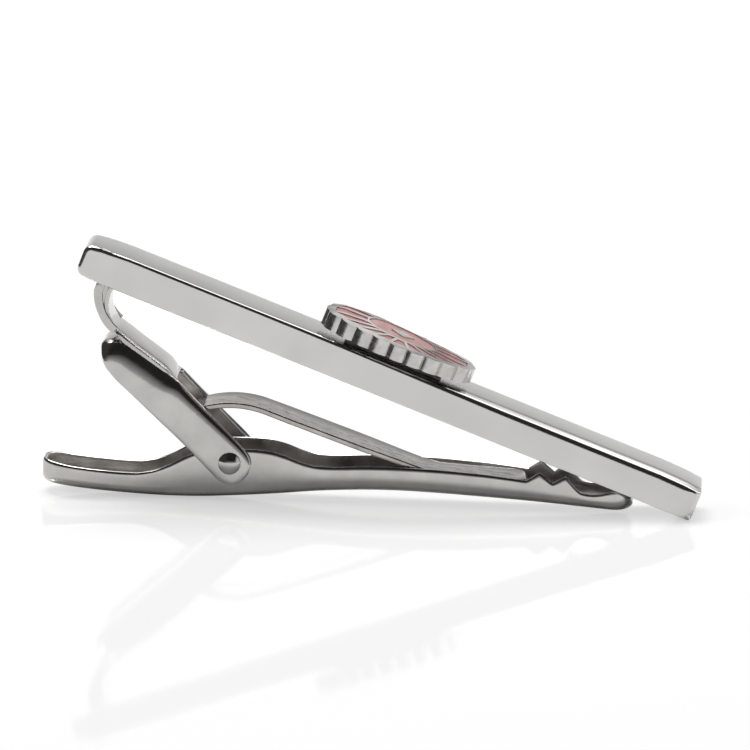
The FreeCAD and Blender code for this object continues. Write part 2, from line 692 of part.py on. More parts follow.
def on_sole(half_width, inset):
    # Edges of the lower side and of both ends, at a given distance from the middle plane
    low = measure("crest_rise") + inset + 0.01
    back = inset - measure("tail_reach") + 0.01
    front = measure("tip_reach") - inset - 0.01
    beside = measure(half_width)

    def wanted(edge):
        point = middle(edge)
        return abs(abs(point.y) - beside) < 0.01 and (point.z < low or not back < point.x < front)

    return wanted


jaw_inside = new_sketch(jaw_arm, "jaw_inside", "XZ_Plane")
outline(jaw_inside, [
    *sole_chain("jaw_sheet"),
    ("tip_reach - jaw_sheet", "ear_top * 3"),
    ("-tail_reach + jaw_sheet", "ear_top * 3"),
])
jaw_channel = pocket(jaw_arm, "jaw_channel", jaw_inside, f"{jaw_width} - 2 * jaw_sheet", both_ways=True)
jaw_trough = fillet(
    jaw_arm, "jaw_trough", jaw_channel, "hull_round - jaw_sheet",
    on_sole(f"{jaw_width} / 2 - jaw_sheet", measure("jaw_sheet")),
)
fillet(jaw_arm, "jaw_hull", jaw_trough, "hull_round", on_sole(f"{jaw_width} / 2", 0))

wall_top = new_sketch(jaw_arm, "wall_top", "XZ_Plane")
outline(wall_top, [
    ("tip_reach + tip_round", f"{tip_rise} - tip_round"),
    ("tip_reach - rim_shoulder", f"{tip_rise} + rim_shoulder"),
    ("tip_reach - rim_crown", "rim_high"),
    ("tip_reach - rim_notch", "rim_low"),
    ("tip_reach - tooth_foot + 2 * tooth_pitch - gullet_drop", "rim_high"),
    ("tip_reach - tooth_foot + 1.5 * tooth_pitch", "tooth_root + tooth_rise - tooth_step"),
    ("tip_reach - tooth_foot + tooth_pitch", "tooth_root - gullet_drop"),
    ("tip_reach - tooth_foot + tooth_pitch / 2", "tooth_root + tooth_rise"),
    ("tip_reach - tooth_foot", "tooth_root", "arm_radius", 1),
    ("arm_start", "arm_top", front_curve, -1),
    ("(arm_start + ear_front) / 2", "(arm_top + ear_top) / 2", front_curve, 1),
    ("ear_front", "ear_top"),
    ("-ear_back", "ear_top", back_curve, 1),
    ("-(ear_back + dip_reach) / 2", "(ear_top + dip_top) / 2", back_curve, -1),
    ("-dip_reach", "dip_top", tail_curve, -1),
    ("-tail_reach", "tail_top"),
    ("-tail_reach - tail_round", "tail_top"),
    ("-tail_reach - tail_round", "ear_top * 3"),
    ("tip_reach + tip_round", "ear_top * 3"),
])
pocket(jaw_arm, "jaw_walls", wall_top, "bracket_width * 2", both_ways=True)
ear_holes = new_sketch(jaw_arm, "ear_holes", "XZ_Plane")
circle(ear_holes, "0", "pivot_rise", "rivet_radius + pivot_play")
pocket(jaw_arm, "ear_bores", ear_holes, "bracket_width * 2", both_ways=True)
place(jaw_arm, "-pivot_reach", "0")

# Leaf spring: a lip on the jaw's floor, a lid between its walls, a knee, a straight rise, and a hump that
# ends in the web's slot

rise_offset = "(hump_reach * sin(leaf_fall) + (hump_rise - hump_radius) * cos(leaf_fall) + hump_radius)"
lid_high = "(tooth_root - lid_drop)"
lid_offset = f"((tip_reach - tooth_foot) * sin(arm_fall) + {lid_high} * cos(arm_fall) - leaf_thickness / 2)"
knee_x = f"({rise_offset} * cos(arm_fall) - {lid_offset} * cos(leaf_fall)) / sin(leaf_fall - arm_fall)"
knee_z = f"({lid_offset} * sin(leaf_fall) - {rise_offset} * sin(arm_fall)) / sin(leaf_fall - arm_fall)"
knee_run = "knee_radius * tan((leaf_fall - arm_fall) / 2)"
lid_end = (
    f"({knee_x} + ({knee_run} + lid_length) * cos(arm_fall))",
    f"({knee_z} - ({knee_run} + lid_length) * sin(arm_fall))",
)
lip_x = f"({lid_end[0]} + lip_round * (1 - sin(arm_fall)))"
lip_top = f"({lid_end[1]} - lip_round * cos(arm_fall))"
lip_foot = f"({sole_offset} + jaw_sheet - ({lip_x} - leaf_thickness / 2) * sin(arm_fall)) / cos(arm_fall)"
hook_x = "(hump_reach - hump_radius * sin(hook_turn))"
leaf_spring = new_body("leaf_spring")
leaf_side = new_sketch(leaf_spring, "leaf_side", "XZ_Plane")
outline(leaf_side, ribbon([
    (lip_x, lip_foot, "90", None),
    (lip_x, lip_top, "90", ("lip_round", 1)),
    (*lid_end, "arm_fall", None),
    (
        f"{knee_x} + {knee_run} * cos(arm_fall)",
        f"{knee_z} - {knee_run} * sin(arm_fall)",
        "arm_fall", ("knee_radius", -1),
    ),
    (
        f"{knee_x} - {knee_run} * cos(leaf_fall)",
        f"{knee_z} + {knee_run} * sin(leaf_fall)",
        "leaf_fall", None,
    ),
    (
        "hump_reach + hump_radius * sin(leaf_fall)",
        "hump_rise - hump_radius * (1 - cos(leaf_fall))",
        "leaf_fall", ("hump_radius", 1),
    ),
    (hook_x, "hump_rise - hump_radius * (1 - cos(hook_turn))", "-hook_turn", None),
], "leaf_thickness"))
pad(leaf_spring, "leaf_strip", leaf_side, "leaf_width + 2 * hook_width", both_ways=True)

leaf_plan = new_sketch(leaf_spring, "leaf_plan", "XY_Plane")
lid_half = f"({jaw_width} / 2 - jaw_sheet - lid_play)"
beyond = f"({lip_x} + leaf_width)"
for side in ("", "-"):
    outline(leaf_plan, [
        (f"{hook_x} + hook_length", f"{side}leaf_width"),
        (f"{hook_x} + hook_length", f"{side}leaf_width / 2"),
        ("hump_reach + hump_radius * sin(leaf_fall)", f"{side}leaf_width / 2"),
        ("ear_front * 2", f"{side}leaf_middle / 2"),
        ("arm_start", f"{side}leaf_middle / 2"),
        (f"{knee_x} - 2 * {knee_run}", f"{side}{lid_half}"),
        (lid_end[0], f"{side}{lid_half}"),
        (lid_end[0], f"{side}lip_width / 2"),
        (beyond, f"{side}lip_width / 2"),
        (beyond, f"{side}leaf_width"),
    ])
pocket(leaf_spring, "leaf_sides", leaf_plan, "hump_rise * 2", upward=True)
place(leaf_spring, "-pivot_reach", "0")

# Check and write each piece

doc.recompute()
faulty = [item.Name for item in doc.Objects if {"Invalid", "Error"} & set(item.State)]
if faulty:
    raise RuntimeError(f"features in error: {faulty}")

os.makedirs("parts", exist_ok=True)
for body in [item for item in doc.Objects if item.TypeId == "PartDesign::Body"]:
    if body.Shape.isNull() or not body.Shape.isValid():
        raise RuntimeError(f"{body.Label} has no valid shape")
    body.Shape.exportStep(f"parts/{body.Label}.step")
    print(f"{body.Label}: {len(body.Shape.Solids)} solid, {body.Shape.Volume:.2f} mm3")
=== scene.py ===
import bpy
import bmesh
from math import radians, sin, cos, tan, pi
from mathutils import Matrix, Vector


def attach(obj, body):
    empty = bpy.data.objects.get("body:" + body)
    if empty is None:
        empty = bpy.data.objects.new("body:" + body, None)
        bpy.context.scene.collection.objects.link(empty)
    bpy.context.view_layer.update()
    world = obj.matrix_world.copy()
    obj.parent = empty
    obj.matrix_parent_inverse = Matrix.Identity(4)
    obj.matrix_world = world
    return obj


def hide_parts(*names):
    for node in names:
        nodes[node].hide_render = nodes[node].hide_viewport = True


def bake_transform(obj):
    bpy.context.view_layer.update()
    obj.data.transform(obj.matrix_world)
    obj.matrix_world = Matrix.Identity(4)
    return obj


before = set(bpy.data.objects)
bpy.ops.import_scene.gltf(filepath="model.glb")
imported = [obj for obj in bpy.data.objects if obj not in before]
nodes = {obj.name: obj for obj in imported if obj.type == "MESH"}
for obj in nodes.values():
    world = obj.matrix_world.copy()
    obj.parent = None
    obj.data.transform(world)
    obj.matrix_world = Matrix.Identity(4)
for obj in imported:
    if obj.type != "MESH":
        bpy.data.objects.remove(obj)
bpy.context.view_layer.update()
print("frame loaded:", ", ".join(sorted(nodes)))


def mm(*values):
    # millimetres in, metres out
    scaled = [value / 1000 for value in values]
    return scaled[0] if len(scaled) == 1 else Vector(scaled)


def toLinear(hexColour):
    # sRGB hex to the linear colour that shaders take
    parts = [int(hexColour[place:place + 2], 16) / 255 for place in (1, 3, 5)]
    linear = [part / 12.92 if part <= 0.04045 else ((part + 0.055) / 1.055) ** 2.4 for part in parts]
    return linear + [1.0]


def addNode(tree, kind, settings=None, **links):
    # settings: node attributes, socket values by name or number, or the stops of a colour ramp
    # links: a socket's name, or _ and its number, and the output that feeds it
    node = tree.nodes.new(kind)
    for key, value in (settings or {}).items():
        if key == "stops":
            elements = node.color_ramp.elements
            while len(elements) < len(value):
                elements.new(0.5)
            for element, (place, colour) in zip(elements, value):
                element.position = place
                element.color = toLinear(colour) if isinstance(colour, str) else [colour] * 3 + [1.0]
        elif isinstance(key, str) and hasattr(node, key):
            setattr(node, key, value)
        else:
            node.inputs[key].default_value = value
    for key, output in links.items():
        name = key.replace("_", " ").strip()
        tree.links.new(output, node.inputs[int(name) if name.isdigit() else name])
    return node


def newMaterial(name):
    material = bpy.data.materials.new(name)
    material.use_nodes = True
    material.node_tree.nodes.clear()
    return material, material.node_tree


# shared patterns: soft drifts of tone, and the hairlines that metal keeps under its plating
# the real lines are finer than a pixel, so they are drawn coarser, to show at all
patternLook = {
    "toneStops": (0.3, 0.7), "toneDetail": 3.0,
    "hairStretch": 0.04, "hairDetail": 4.0, "hairRange": (0.35, 0.75), "hairDepth": 0.02,
}


def drawnOut(tree, place, lie, stretch, grain, detail):
    # noise drawn out along a piece that lies at this angle, its grain in millimetres
    along = addNode(tree, "ShaderNodeMapping", {"Rotation": (0, radians(lie), 0), "Scale": (stretch, 1.0, 1.0)},
                    Vector=place)
    noise = addNode(tree, "ShaderNodeTexNoise", {"Scale": 1000 / grain, "Detail": detail},
                    Vector=along.outputs["Vector"])
    return noise.outputs["Fac"]


def cloudedTone(tree, place, grain, detail, look):
    # a soft drift between the deep and the pale tone
    cloud = addNode(tree, "ShaderNodeTexNoise", {"Scale": 1000 / grain, "Detail": detail}, Vector=place)
    low, high = patternLook["toneStops"]
    tone = addNode(tree, "ShaderNodeValToRGB", {"stops": [(low, look["deep"]), (high, look["pale"])]},
                   Fac=cloud.outputs["Fac"])
    return tone.outputs["Color"]


def rollMarksAndEdgeShade(tree, place, colour, look):
    # short dashes left by the rolls in a band along the strip, and painted shade along the far edge, for the dark
    # band that its round mirrors
    # the dashes too are drawn coarser than the real ones
    half = mm(look["half"])
    width = addNode(tree, "ShaderNodeSeparateXYZ", Vector=place).outputs["Y"]
    spread = addNode(tree, "ShaderNodeMapRange", {"From Min": -half, "From Max": half}, Value=width)
    band = addNode(tree, "ShaderNodeValToRGB", {"stops": look["band"]}, Fac=spread.outputs["Result"])
    # painted shade: this ramp darkens the strip towards its far edge
    edge = addNode(tree, "ShaderNodeValToRGB", {"stops": look["edge"]}, Fac=spread.outputs["Result"])
    dash = drawnOut(tree, place, look["lie"], look["dashStretch"], look["dash"], look["dashDetail"])
    dent = addNode(tree, "ShaderNodeValToRGB", {"stops": look["dent"]}, Fac=dash)
    darken = {"data_type": "RGBA", "blend_type": "MULTIPLY"}
    marked = addNode(tree, "ShaderNodeMix", darken, _0=band.outputs["Color"], _6=colour, _7=dent.outputs["Color"])
    # the painted shade of the far edge is multiplied in here
    shadedEdge = addNode(tree, "ShaderNodeMix", {**darken, 0: 1.0}, _6=marked.outputs[2], _7=edge.outputs["Color"])
    return shadedEdge.outputs[2]


def platedMetal(name, look):
    # hairlines change both the gloss and the relief, so that mirror images break up along them
    material, tree = newMaterial(name)
    place = addNode(tree, "ShaderNodeTexCoord").outputs["Object"]
    colour = cloudedTone(tree, place, look["blotch"], patternLook["toneDetail"], look)
    if "dash" in look:
        colour = rollMarksAndEdgeShade(tree, place, colour, look)
    hair = drawnOut(tree, place, look["lie"], patternLook["hairStretch"], look["hairline"],
                    patternLook["hairDetail"])
    low, high = patternLook["hairRange"]
    rough = addNode(tree, "ShaderNodeMapRange", {"From Min": low, "From Max": high, "To Min": look["gloss"],
                                                 "To Max": look["haze"]}, Value=hair)
    relief = addNode(tree, "ShaderNodeBump", {"Strength": look["wave"], "Distance": mm(patternLook["hairDepth"])},
                     Height=hair)
    shader = addNode(tree, "ShaderNodeBsdfPrincipled", {"Metallic": look.get("metal", 1.0)}, Base_Color=colour,
                     Roughness=rough.outputs["Result"], Normal=relief.outputs["Normal"])
    addNode(tree, "ShaderNodeOutputMaterial", Surface=shader.outputs["BSDF"])
    return material


# buffed brass under nickel: a pale, even mirror
barPlate = platedMetal("nickel_plated_brass_polished", {
    "deep": "#c8c7c5", "pale": "#d3d2d0",
    "blotch": 6.0, "hairline": 0.12, "lie": 20.3,
    "gloss": 0.10, "haze": 0.22, "wave": 0.04,
})
# tumbled stampings: a darker, sharper mirror with a slight mottle
claspPlate = platedMetal("nickel_plated_steel_stamped", {
    "deep": "#b7b5b2", "pale": "#c6c4c0",
    "blotch": 2.5, "hairline": 0.2, "lie": 4.0,
    "gloss": 0.07, "haze": 0.16, "wave": 0.08,
})
# rolled strip: a warmer grey, with dull dashes along it and a far edge darkened as painted shade
leafPlate = platedMetal("nickel_plated_spring_steel", {
    "deep": "#a29e99", "pale": "#bebbb6",
    "blotch": 1.6, "hairline": 0.6, "lie": 19.1,
    "gloss": 0.10, "haze": 0.26, "wave": 0.10,
    "half": 2.25, "dash": 0.3, "dashStretch": 0.22, "dashDetail": 1.0, "dent": [(0.56, 1.0), (0.66, 0.45)],
    "band": [(0.1, 0.0), (0.2, 1.0), (0.62, 1.0), (0.72, 0.0)],
    # edge: painted shade, darkening the far edge for the dark band that its round mirrors
    "edge": [(0.58, 1.0), (0.8, 0.42), (1.0, 0.336)],
})
# insides that no polish reached: cloudy and matt, with no clear mirror image
insidePlate = platedMetal("nickel_plated_steel_unpolished", {
    "deep": "#86827e", "pale": "#e0ddd9",
    "blotch": 3.0, "hairline": 0.3, "lie": 2.0,
    "gloss": 0.34, "haze": 0.6, "wave": 0.2, "metal": 0.75,
})
# struck lines: bright, with the fine mottle of the die
plaquePlate = platedMetal("nickel_plated_struck_brass", {
    "deep": "#b9b7b4", "pale": "#d2d0cd",
    "blotch": 0.9, "hairline": 0.2, "lie": 20.3,
    "gloss": 0.10, "haze": 0.25, "wave": 0.12,
})
# solder at the joints: a dull line, darker than solder itself as painted shade of the gaps it sits in
solderAndShadePlate = platedMetal("soldered_joint_dark_as_painted_shade", {
    "deep": "#3a3836", "pale": "#56534f",
    "blotch": 0.7, "hairline": 0.3, "lie": 20.3,
    "gloss": 0.35, "haze": 0.6, "wave": 0.25,
})


def enamel(name, look):
    # resin fill, a little uneven in colour where it pooled, with a faint grain in its shine
    material, tree = newMaterial(name)
    place = addNode(tree, "ShaderNodeTexCoord").outputs["Object"]
    colour = cloudedTone(tree, place, look["cloud"], look["cloudDetail"], look)
    speck = addNode(tree, "ShaderNodeTexNoise", {"Scale": 1000 / look["speck"]}, Vector=place)
    relief = addNode(tree, "ShaderNodeBump", {"Strength": look["wave"], "Distance": mm(look["speckDepth"])},
                     Height=speck.outputs["Fac"])
    shader = addNode(tree, "ShaderNodeBsdfPrincipled", {"Roughness": look["haze"], "IOR": look["ior"]},
                     Base_Color=colour, Normal=relief.outputs["Normal"])
    addNode(tree, "ShaderNodeOutputMaterial", Surface=shader.outputs["BSDF"])
    return material


# soft enamel: flat colour under a soft, wide shine
enamelLook = {
    "cloud": 1.2, "cloudDetail": 4.0, "speck": 0.15, "speckDepth": 0.02,
    "wave": 0.1, "haze": 0.28, "ior": 1.5,
}
pinkEnamel = enamel("soft_enamel_rose", {**enamelLook, "deep": "#a16b6b", "pale": "#b68080"})
paleEnamel = enamel("soft_enamel_blush", {**enamelLook, "deep": "#ab807d", "pale": "#bf9895"})
print("materials made")


def addPiece(name, shape, material, body, replaced):
    # a finished piece: at the origin, on its body, in place of its CAD node
    mesh = bpy.data.meshes.new(name)
    shape.to_mesh(mesh)
    shape.free()
    mesh.shade_smooth()
    mesh.materials.append(material)
    piece = bpy.data.objects.new(name, mesh)
    bpy.context.scene.collection.objects.link(piece)
    if body:
        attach(piece, body)
    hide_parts(replaced)
    return piece


def readTable(table, place):
    # straight-line reading of (place, value) rows
    for (start, first), (end, last) in zip(table, table[1:]):
        if place <= end:
            return first + (last - first) * max(0, place - start) / (end - start)
    return table[-1][1]


def cutLoops(shape, direction, places):
    # adds edge loops across a block at these places along one direction
    for place in places:
        everything = shape.verts[:] + shape.edges[:] + shape.faces[:]
        bmesh.ops.bisect_plane(shape, geom=everything, plane_co=Vector(direction) * place, plane_no=direction)


sharpTurn = 1.0  # radians between the faces of an edge that is still square
touch, flush = 0.1, 0.01  # millimetres within which a point is near an end, or lies on a face


def roundEdges(shape, radius, steps, wanted):
    # rounds the square edges that wanted picks by their middle, in millimetres, and their direction
    chosen = []
    for edge in shape.edges:
        start, end = (vert.co for vert in edge.verts)
        isSharp = len(edge.link_faces) == 2 and edge.calc_face_angle(0) > sharpTurn
        if isSharp and wanted((start + end) * 500, (end - start).normalized()):
            chosen.append(edge)
    bmesh.ops.bevel(shape, geom=chosen, offset=mm(radius), offset_type="OFFSET", affect="EDGES", segments=steps,
                    profile=0.5, material=-1)


def startCage(look):
    # a block with its length in millimetres and its width and height from -1 to 1, cut into rows
    shape = bmesh.new()
    bmesh.ops.create_cube(shape, size=2.0)
    middle = (look["start"] + look["end"]) / 2
    bmesh.ops.scale(shape, vec=(look["end"] - middle, 1, 1), verts=shape.verts)
    bmesh.ops.translate(shape, vec=(middle, 0, 0), verts=shape.verts)
    cutLoops(shape, (1, 0, 0), look["loops"])
    cutLoops(shape, (0, 1, 0), [-look["sideRow"], look["sideRow"]])
    cutLoops(shape, (0, 0, 1), look["levels"])
    return shape


outerRow = 0.9  # past this a point of a cage is in its outer row, at 1


def rounded(piece, levels):
    smooth = piece.modifiers.new("rounding", "SUBSURF")
    smooth.levels = smooth.render_levels = levels


def sheetMetal(piece, look, inside):
    # the cage is the outside of the sheet, so the thickness goes inwards; the inside has its own finish
    piece.data.materials.append(inside)
    sheet = piece.modifiers.new("sheet", "SOLIDIFY")
    sheet.thickness = mm(look["sheet"])
    sheet.offset = -1
    sheet.use_even_offset = True
    sheet.edge_crease_rim = look["rimCrease"]
    sheet.material_offset = 1


def evenLight(piece):
    # flat faces stay flat in the mirror finish
    even = piece.modifiers.new("even_light", "WEIGHTED_NORMAL")
    even.mode = "FACE_AREA"
    even.weight = 60
    even.keep_sharp = True


def easeEdges(piece, width, angle=28, segments=2):
    # breaks the sharp edges a little
    ease = piece.modifiers.new("edge_break", "BEVEL")
    ease.width = mm(width)
    ease.segments = segments
    ease.limit_method = "ANGLE"
    ease.angle_limit = radians(angle)
    ease.miter_outer = "MITER_ARC"
    evenLight(piece)


# front bar: drawn along its own length with a slightly crowned top, then leaned into place
# pairs are the near side and the far one
barLook = {
    "length": 58.0, "width": 5.5, "height": 3.1, "crown": 0.05, "edgeBreak": 0.06,
    "heelRound": 0.8, "browRound": 0.7, "soleRound": 0.45, "footRound": 0.12,
    "headRound": (0.4, 0.8), "headReach": 0.75, "toeRound": (0.65, 0.3), "topRound": (0.28, 0.25),
    "edgeSpan": (1.4, 57.3),
    "edgeRound": [(0, 0.28), (14, 0.28), (25, 0.32), (40, 0.5), (56.4, 0.5), (57.2, 0.28)],
    "droop": [(0, 0), (20, 0), (39, 0.11), (53, 0.13), (58, 0.13)], "droopAcross": [(1.8, 0), (2.25, 1)],
    "endDrop": [(0, 0.2), (1.5, 0.1), (4, 0), (54, 0), (56.4, 0.1), (58, 0.28)], "waist": 1.5,
    "loopsAcross": [-2.1, -1.8, -1.2, -0.6, 0, 0.6, 1.2, 1.9],
    "loopsAlong": [1.5, 2.5, 4, 6, 9, 14, 20, 25, 32, 39, 46, 53, 54, 55.2, 56.4, 57.2],
    "lean": 20.3, "pivot": (-12.4, 0, 3.69), "pivotAlong": 18.7349, "pivotBelow": 10.5909,
}
barPlace = (Matrix.Translation(mm(*barLook["pivot"])) @ Matrix.Rotation(radians(barLook["lean"]), 4, "Y")
            @ Matrix.Translation(mm(-barLook["pivotAlong"], 0, barLook["pivotBelow"])))

shape = bmesh.new()
size = mm(barLook["length"], barLook["width"], barLook["height"])
bmesh.ops.create_cube(shape, size=1.0)
bmesh.ops.scale(shape, vec=size, verts=shape.verts)
bmesh.ops.translate(shape, vec=(size.x / 2, 0, size.z / 2), verts=shape.verts)

toeFrom, topFrom = barLook["length"] - touch, barLook["height"] - flush


def isAcross(run):
    return abs(run.y) > 0.9


def atHead(spot, run):
    return abs(run.y) < 0.1 and spot.x < barLook["headReach"]


def atToe(spot, run):
    return abs(run.z) > 0.9 and spot.x > toeFrom


for radius, steps, wanted in (
    (barLook["heelRound"], 6, lambda spot, run: isAcross(run) and spot.x < touch and spot.z < touch),
    (barLook["browRound"], 6, lambda spot, run: isAcross(run) and spot.x < touch and spot.z > barLook["waist"]),
    (barLook["soleRound"], 4, lambda spot, run: isAcross(run) and spot.x > toeFrom and spot.z < touch),
    (barLook["headRound"][0], 6, lambda spot, run: atHead(spot, run) and spot.y < 0),
    (barLook["headRound"][1], 6, lambda spot, run: atHead(spot, run) and spot.y > 0),
    (barLook["toeRound"][0], 6, lambda spot, run: atToe(spot, run) and spot.y < 0),
    (barLook["toeRound"][1], 6, lambda spot, run: atToe(spot, run) and spot.y > 0),
    (barLook["topRound"][0], 6, lambda spot, run: spot.z > topFrom and spot.y < 0 and not isAcross(run)),
    (barLook["topRound"][1], 6, lambda spot, run: spot.z > topFrom),
    (barLook["footRound"], 3, lambda spot, run: spot.z < flush),
):
    roundEdges(shape, radius, steps, wanted)
cutLoops(shape, (0, 1, 0), [mm(place) for place in barLook["loopsAcross"]])
cutLoops(shape, (1, 0, 0), [mm(place) for place in barLook["loopsAlong"]])

firstRound, slack = mm(barLook["topRound"][0]), 1e-7
spanStart, spanEnd = (mm(place) for place in barLook["edgeSpan"])
for vert in shape.verts:
    inY, inZ = vert.co.y + size.y / 2 - firstRound, vert.co.z - size.z + firstRound
    if spanStart < vert.co.x < spanEnd and inY < slack and inZ > -slack:
        # the near top edge's round, drawn again at this place's own radius
        scale = mm(readTable(barLook["edgeRound"], vert.co.x * 1000)) / firstRound
        vert.co.y = -size.y / 2 + firstRound * scale + inY * scale
        vert.co.z = size.z - firstRound * scale + inZ * scale
for vert in shape.verts:
    if vert.co.z > mm(barLook["waist"]):
        # the top: crowned across, drooping to the near edge and falling a little at both ends
        reach, near = vert.co.x * 1000, readTable(barLook["droopAcross"], -vert.co.y * 1000)
        vert.co.z -= mm(barLook["crown"]) * (vert.co.y / (size.y / 2)) ** 2
        vert.co.z -= mm(readTable(barLook["droop"], reach)) * near
        vert.co.z -= mm(readTable(barLook["endDrop"], reach))
bmesh.ops.transform(shape, matrix=barPlace, verts=shape.verts)
bmesh.ops.recalc_face_normals(shape, faces=shape.faces)
bar = addPiece("front_bar_plated", shape, barPlate, "front", "front_bar")
easeEdges(bar, barLook["edgeBreak"])
print("bar made")


# hinge bracket: a slotted channel whose folds open out into a domed nose
# tables run from the pivot end to the nose
bracketLook = {
    "pivot": (-12.4, 0, 3.69), "pitch": 45.0, "sheet": 0.45, "rimCrease": 0.8, "rounding": 3,
    "start": -2.0, "end": 15.3, "slotEnd": 8.5, "roundEnd": 0.35,
    "sideRow": 0.5, "levels": [-0.4, 0.5], "lowShare": 0.3,
    "loops": [-1.25, -0.4, 1.0, 3.0, 5.0, 6.8, 7.9, 8.5, 9.4, 11.0, 12.4, 13.5, 14.2, 14.8],
    "half": [(-2.0, 3.1), (13.5, 3.1), (14.2, 3.0), (14.8, 2.75), (15.3, 2.0)],
    "top": [(-2.0, 1.0), (-1.25, 1.52), (-0.4, 1.86), (6.8, 1.8), (7.9, 1.84), (8.5, 1.8), (12.4, 1.12),
            (13.5, 0.92), (14.2, 0.66), (14.8, 0.22), (15.3, -0.45)],
    "bottom": [(-2.0, -1.0), (-1.25, -1.52), (-0.4, -1.86), (1.0, -1.84), (3.7, -1.8), (7.0, -1.94),
               (12.4, -2.15), (13.5, -2.05), (14.2, -1.85), (14.8, -1.5), (15.3, -1.05)],
    "foldIn": [(-2.0, 0.4), (-0.4, 0.52), (2.2, 0.52), (3.6, 0.72), (5.0, 0.84), (6.8, 0.86), (8.5, 0.88),
               (9.4, 0.95), (13.5, 1.0), (15.3, 0.9)],
    "foldDown": [(-2.0, 0.5), (-0.4, 0.85), (5.0, 1.05), (6.8, 1.15), (7.9, 1.3), (8.5, 1.4), (9.4, 1.6),
                 (12.4, 1.75), (13.5, 1.7), (14.2, 1.4), (14.8, 0.95), (15.3, 0.3)],
    "softenIn": [(-2.0, 0.0), (-0.4, 0.16), (5.0, 0.22), (7.9, 0.3), (9.4, 0.45), (13.5, 0.48), (15.3, 0.3)],
    "softenDown": [(-2.0, 0.0), (-0.4, 0.1), (5.0, 0.12), (9.4, 0.12), (13.5, 0.14), (15.3, 0.1)],
}
bracketRows = ("half", "top", "bottom", "foldIn", "foldDown", "softenIn", "softenDown")
lowLevel, foldLevel = bracketLook["levels"]
shape = startCage(bracketLook)
opened = []
for face in shape.faces:
    # open below and at the pivot end, and along the slot in the web
    spot, facing = face.calc_center_median(), face.normal
    inSlot = facing.z > 0.5 and spot.x < bracketLook["slotEnd"] and abs(spot.y) < bracketLook["sideRow"]
    if facing.z < -0.5 or facing.x < -0.5 or inSlot:
        opened.append(face)
bmesh.ops.delete(shape, geom=opened, context="FACES")
for vert in shape.verts:
    reach, side, level = vert.co
    half, top, bottom, foldIn, foldDown, softenIn, softenDown = (
        readTable(bracketLook[row], reach) for row in bracketRows)
    foot = top - foldDown
    across = half if abs(side) > outerRow else half - foldIn
    if abs(side) > outerRow and level > outerRow:
        across, top = across - softenIn, top - softenDown
    lowRow = bottom + bracketLook["lowShare"] * (foot - bottom)
    height = readTable([(-1, bottom), (lowLevel, lowRow), (foldLevel, foot), (1, top)], level)
    if reach < bracketLook["start"] + flush:
        reach += bracketLook["roundEnd"] * level ** 2
    vert.co = mm(-reach, across if side > 0 else -across, height)
bmesh.ops.transform(shape, verts=shape.verts, matrix=Matrix.Translation(mm(*bracketLook["pivot"]))
                    @ Matrix.Rotation(radians(bracketLook["pitch"]), 4, "Y"))
bmesh.ops.recalc_face_normals(shape, faces=shape.faces)
bracket = addPiece("hinge_bracket_plated", shape, claspPlate, "front", "hinge_bracket")
sheetMetal(bracket, bracketLook, insidePlate)
rounded(bracket, bracketLook["rounding"])
print("bracket made")


